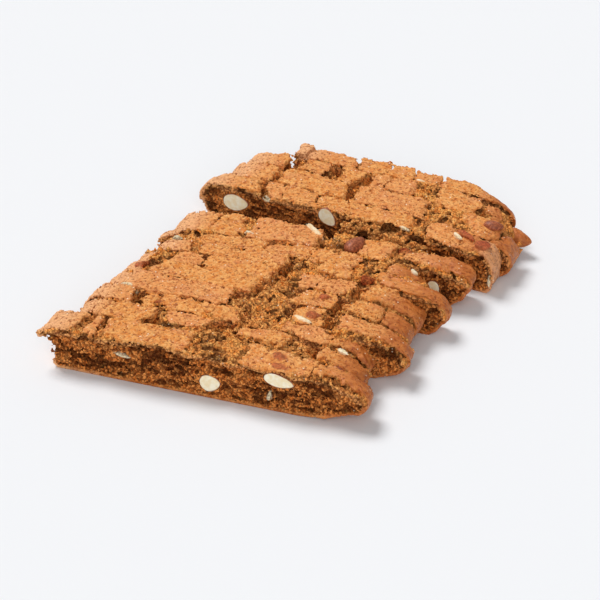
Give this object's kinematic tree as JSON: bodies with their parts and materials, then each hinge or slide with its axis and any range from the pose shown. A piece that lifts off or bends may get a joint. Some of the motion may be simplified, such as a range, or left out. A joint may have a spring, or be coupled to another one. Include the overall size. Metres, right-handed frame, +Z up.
{
  "type": "almond biscotti",
  "caption": "Flat crackle-topped almond biscotti loaf, baked brown and cut across into upright slices that still stand in a row.",
  "frame": {"origin": "bottom centre of the bounding box, on the surface that the slices rest on", "axes": "+Z up, +Y from the first slice to the last, +X along the slices to their right ends"},
  "size_m": [0.194, 0.218, 0.026],
  "materials": {
    "crust": "dry baked biscuit, matt granular crust with open crumb",
    "almond": "cut almond, creamy white and slightly waxy",
    "almond_skin": "wrinkled red-brown almond skin"
  },
  "bodies": {
    "root": {"slice_01": "crust", "slice_02": "crust", "slice_03": "crust", "slice_04": "crust", "slice_05": "crust", "slice_06": "crust", "slice_07": "crust", "slice_08": "crust", "slice_09": "crust", "slice_10": "crust", "slice_11": "crust", "slice_12": "crust", "slice_13": "crust", "almond_front_round": "almond", "almond_front_long": "almond", "almond_second": "almond", "almond_ninth_end": "almond", "almond_tenth_left": "almond", "almond_tenth_right": "almond", "almond_ninth_top": "almond_skin", "almond_eleventh_top": "almond_skin"}
  },
  "joints": []
}
